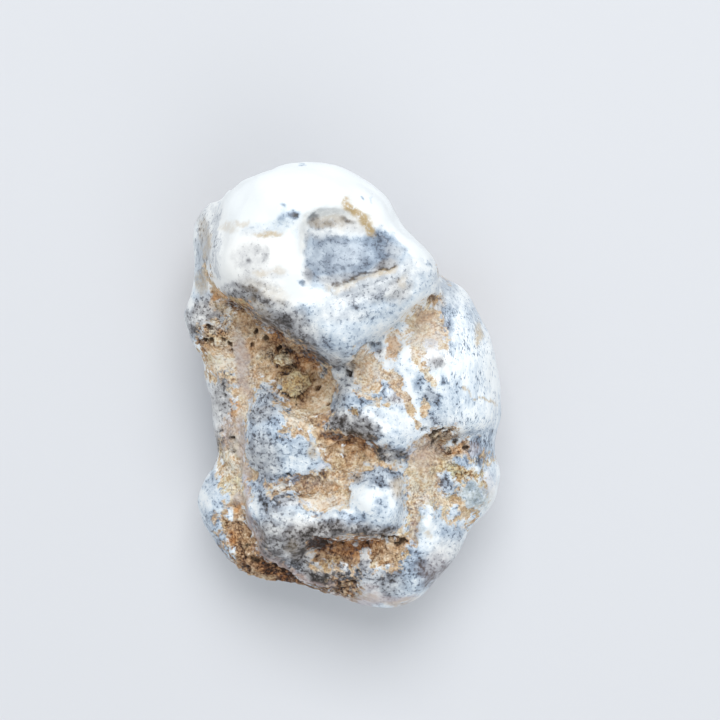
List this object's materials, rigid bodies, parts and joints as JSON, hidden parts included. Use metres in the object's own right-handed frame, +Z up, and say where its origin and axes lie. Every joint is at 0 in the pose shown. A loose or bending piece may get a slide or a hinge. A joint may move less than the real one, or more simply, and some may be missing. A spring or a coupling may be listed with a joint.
{
  "type": "dendritic opal nodule",
  "caption": "Loose natural nodule of white opal with blue-grey moss-like dendrites and tan host rock in its hollows, lying on a flat broken face.",
  "frame": {"origin": "on the resting plane, under the middle of the stone's outline", "axes": "+Z up through the stone's thickness, +Y along its length towards the large rounded head, +X across it"},
  "size_m": [0.0506, 0.0704, 0.0434],
  "materials": {
    "opal": "porcelain-white opal with blue-grey dendrites, and matt tan host rock in the hollows"
  },
  "bodies": {
    "root": {"opal_nodule": "opal"}
  },
  "joints": []
}
